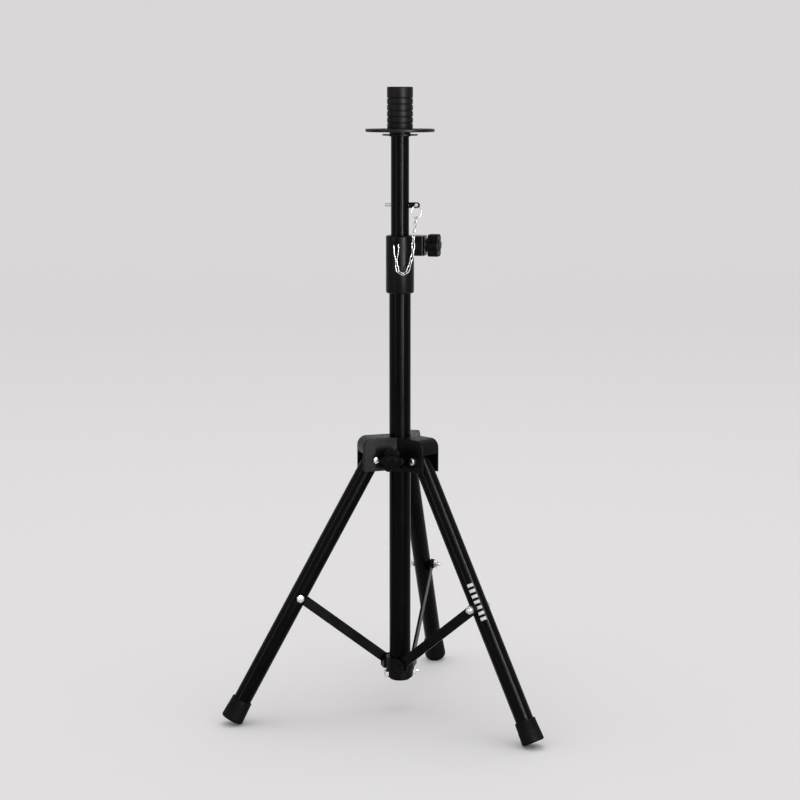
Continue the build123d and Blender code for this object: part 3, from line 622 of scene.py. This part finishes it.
def threadedTip(name, base, direction, radius, start, end):
    # the rod's radius less the thread's depth times a triangle wave of the height over the pitch, less the
    # angle over a whole turn
    pitch = threadShape["pitch"]
    depth = pitch * threadShape["depth"]
    perPitch = threadShape["pointsPerPitch"]
    count = max(perPitch, int((end - start) / pitch * perPitch))
    height = np.linspace(start, end, count)
    side = np.stack([np.full(count, radius), height], axis=1)
    top = end + pitch * threadShape["endRise"]
    profile = np.concatenate([[[0, start]], side, [[radius * threadShape["endRadius"], top], [0, top]]])

    def shaped(angle, across, along):
        phase = along / pitch - angle / (2 * np.pi)
        groove = 1 - np.abs(2 * (phase - np.floor(phase)) - 1)
        fade = np.clip((end - along) / pitch, 0, 1)
        onSide = across >= radius * 0.99
        return across - np.where(onSide, depth * groove + (1 - fade) * radius * threadShape["endCut"], 0)

    return turned(name, profile, base, direction, 48, shaped)


def plainRod(name, base, direction, radius, start, end):
    profile = roundedProfile([(0, start, 0), (radius, start, 0), (radius, end, radius * 0.1), (0, end, 0)], 3)
    return turned(name, profile, base, direction, 40)


def acrossFlats(reach):
    # a hexagon's width across its flats, from its corners' distance to the axis
    return reach * 2 * hexCorner


def solidNear(node, place):
    # of a node's separate solids, the one whose middle is nearest a place as seen from above
    return min(islandsOf(node), key=lambda points: np.linalg.norm((points.mean(axis=0) - place)[:2]))


def pivotBolts():
    bolts, nuts = [], []
    for number in legNumbers:
        pivot, right, down = legDirections(number)
        bolt = solidNear("leg_pivot_bolts", pivot)
        nut = solidNear("leg_pivot_nuts", pivot)
        nutStart, nutEnd, nutReach = spanAlong(nut, pivot, -right)
        tip = spanAlong(bolt, pivot, -right)[1]
        headEnd, headReach = spanAlong(bolt, pivot, right)[1:]
        shank = distancesFrom(bolt, pivot, right).min()
        bolts += [hexPiece("head", pivot, right, acrossFlats(headReach), nutStart, headEnd),
                  plainRod("shank", pivot, right, shank, -nutStart, nutStart),
                  threadedTip("tip", pivot, -right, shank, nutStart - threadShape["overlap"], tip)]
        nutWidth = acrossFlats(nutReach)
        nuts.append(hexPiece("nut", pivot, -right, nutWidth, nutStart, nutEnd, shank, domed=False))
    dress(joined("leg_pivot_bolts_turned", bolts), "hub", "zinc", "leg_pivot_bolts", degrees=30)
    dress(joined("leg_pivot_nuts_turned", nuts), "hub", "zinc", "leg_pivot_nuts", degrees=30)


pivotBolts()


def braceFasteners(number):
    # the bolt through a leg, and the nut and the spacer that hold the brace on it
    pivot, right, down = legDirections(number)
    leg, brace = f"leg_{number}", f"brace_{number}"
    bolt = nodePoints(leg + "_brace_bolt")
    along = (bolt @ down).max() / 2 + (bolt @ down).min() / 2 - pivot @ down
    centre = pivot + down * along
    headStart, headEnd, reach = spanAlong(bolt, centre, -right)
    tubeRadius = -headStart
    shank = distancesFrom(bolt, centre, right).min()
    head = hexPiece("head", centre, -right, acrossFlats(reach), tubeRadius, headEnd)
    rod = plainRod("shank", centre, right, shank, -tubeRadius, tubeRadius)
    dress(joined(leg + "_bolt_turned", [head, rod]), leg, "zinc", leg + "_brace_bolt", degrees=30)
    nut = nodePoints(brace + "_nut")
    nutStart, tip, nutReach = spanAlong(nut, centre, right)
    washerStart, washerEnd, washerRadius = spanAlong(nodePoints(brace + "_washer"), centre, right)
    corners = nut[distancesFrom(nut, centre, right) > nutReach * 0.99]
    nutEnd = ((corners - centre) @ right).max()
    body = hexPiece("nut", centre, right, acrossFlats(nutReach), washerEnd, nutEnd, shank, domed=False)
    core = plainRod("core", centre, right, shank, nutStart, washerEnd)
    thread = threadedTip("thread", centre, right, shank, washerEnd, tip)
    dress(joined(brace + "_nut_turned", [body, core, thread]), brace, "zinc", brace + "_nut", degrees=30)
    outline = roundedProfile([(shank, washerStart, 0), (washerRadius, washerStart, washerShape["innerEdge"]),
                              (washerRadius, washerEnd, washerShape["outerEdge"]), (shank, washerEnd, 0),
                              (shank, washerStart, 0)], 4)
    spacer = turned(brace + "_washer_turned", outline, centre, right, 64)
    dress(spacer, brace, "black_plastic", brace + "_washer")


for number in legNumbers:
    braceFasteners(number)
print("fasteners made")


softEdges = {"leg_hub": ("hub", 0.0007), "clamp_collar": ("column", 0.0006),
             "lower_bracket": ("column", 0.0006), "brace_1_bar": ("brace_1", 0.0005),
             "brace_2_bar": ("brace_2", 0.0005),
             "brace_3_bar": ("brace_3", 0.0005), "pin_head": ("pin", 0.0004)}
for node, (body, width) in softEdges.items():
    softenedCopy(node, body, width)
print("mouldings softened")


stripeShape = {"first": 0.186, "bars": 7, "length": 0.0045, "gap": 0.0036, "facing": -52, "wide": 0.0085,
               "ink": 0.00006}


def legStripes():
    # short printed bars along the front right leg: each point is the leg's middle line at its distance down,
    # plus the tube's radius and the ink's thickness in the direction of its angle
    pivot, right, down = legDirections(2)
    radius = spanAlong(nodePoints("leg_2_tube"), pivot, down)[2] + stripeShape["ink"]
    front = np.cross(right, down)
    middle = math.radians(stripeShape["facing"])
    half = stripeShape["wide"] / 2 / radius
    bars = []
    for index in range(stripeShape["bars"]):
        start = stripeShape["first"] + index * (stripeShape["length"] + stripeShape["gap"])
        along = np.linspace(start, start + stripeShape["length"], 4)[:, None]
        angle = np.linspace(middle - half, middle + half, 14)[None, :]
        ring = np.cos(angle)[..., None] * front + np.sin(angle)[..., None] * -right
        bars.append(gridObject("bar", pivot + along[..., None] * down + radius * ring, closedAcross=False))
    marks = joined("leg_2_stripes", bars)
    skin = marks.modifiers.new("ink", "SOLIDIFY")
    skin.thickness, skin.offset = stripeShape["ink"], 1
    return marks


dress(legStripes(), "leg_2", "white_ink")
print("stripes printed")


# Camera, light and floor

view = {"azimuth": 13.0, "pitch": 9.21, "distance": 2.5966, "height": 0.869, "lens": 84.56, "sensor": 36}
turn = math.radians(view["azimuth"])
camera = bpy.data.objects.new("camera", bpy.data.cameras.new("camera"))
bpy.context.scene.collection.objects.link(camera)
camera.location = (view["distance"] * math.sin(turn), -view["distance"] * math.cos(turn), view["height"])
camera.rotation_euler = (math.radians(90 - view["pitch"]), 0, turn)
camera.data.lens = view["lens"]
camera.data.sensor_width = view["sensor"]
bpy.context.scene.camera = camera
bpy.context.scene.view_settings.view_transform = "Standard"

studio = {"floorTone": (0.80, 0.785, 0.78), "floorRoughness": 0.85, "worldTone": (0.95, 0.95, 0.96),
          "worldStrength": 0.97, "reachFront": 8.0, "reachBack": 8.0, "bend": 3.0, "tall": 9.0,
          "halfWide": 12.0}
# a reflected lamp shows as a highlight, and lights neither the paper nor the paint
lamps = {
    "key": dict(place=(1.5, -2.75, 1.55), target=(0, 0, 1.5), size=(0.07, 3.1), power=60, reflected=True),
    "fill": dict(place=(-1.9, -2.5, 1.3), target=(0, 0, 1.2), size=(0.10, 2.4), power=25, reflected=True),
    "top": dict(place=(0, 0.3, 3.4), target=(0, 0, 0), size=(1.2, 1.2), power=9, reflected=False),
    "glint": dict(place=(2.3, -2.2, 1.2), target=(0, 0, 0.5), size=(0.05, 3.1), power=260, reflected=True),
}


def areaLight(name, place, target, size, power, reflected):
    lamp = bpy.data.lights.new(name, "AREA")
    lamp.shape = "RECTANGLE"
    lamp.size, lamp.size_y = size
    lamp.energy = power
    light = bpy.data.objects.new(name, lamp)
    bpy.context.scene.collection.objects.link(light)
    light.location = place
    light.visible_diffuse = not reflected
    direction = Vector(target) - Vector(place)
    light.rotation_euler = direction.to_track_quat("-Z", "Y").to_euler()


def seamless():
    # floor and back wall in one sheet: a flat line, a quarter circle and an upright line, carried across and
    # turned to face the camera
    reachBack, bend = studio["reachBack"], studio["bend"]
    angle = np.linspace(0, np.pi / 2, 24)
    arc = np.stack([reachBack - bend + bend * np.sin(angle), bend - bend * np.cos(angle)], axis=1)
    line = np.concatenate([[[-studio["reachFront"], 0]], arc, [[reachBack, studio["tall"]]]])
    across = np.linspace(-studio["halfWide"], studio["halfWide"], 2)
    away = np.array([-math.sin(turn), math.cos(turn), 0])
    side = np.array([math.cos(turn), math.sin(turn), 0])
    points = line[:, None, :1] * away + line[:, None, 1:] * up + across[None, :, None] * side
    sheet = gridObject("backdrop", points, closedAcross=False)
    smoothByAngle(sheet, 60)
    material, tree, shader = newMaterial("backdrop_paper")
    shader.inputs["Base Color"].default_value = (*studio["floorTone"], 1)
    shader.inputs["Roughness"].default_value = studio["floorRoughness"]
    shader.inputs["Specular IOR Level"].default_value = 0.0
    sheet.data.materials.append(material)


seamless()
for lampName, settings in lamps.items():
    areaLight(lampName, **settings)
world = bpy.data.worlds.new("studio")
world.use_nodes = True
sky = world.node_tree.nodes["Background"]
sky.inputs["Color"].default_value = (*studio["worldTone"], 1)
sky.inputs["Strength"].default_value = studio["worldStrength"]
bpy.context.scene.world = world
print("camera, light and floor set")
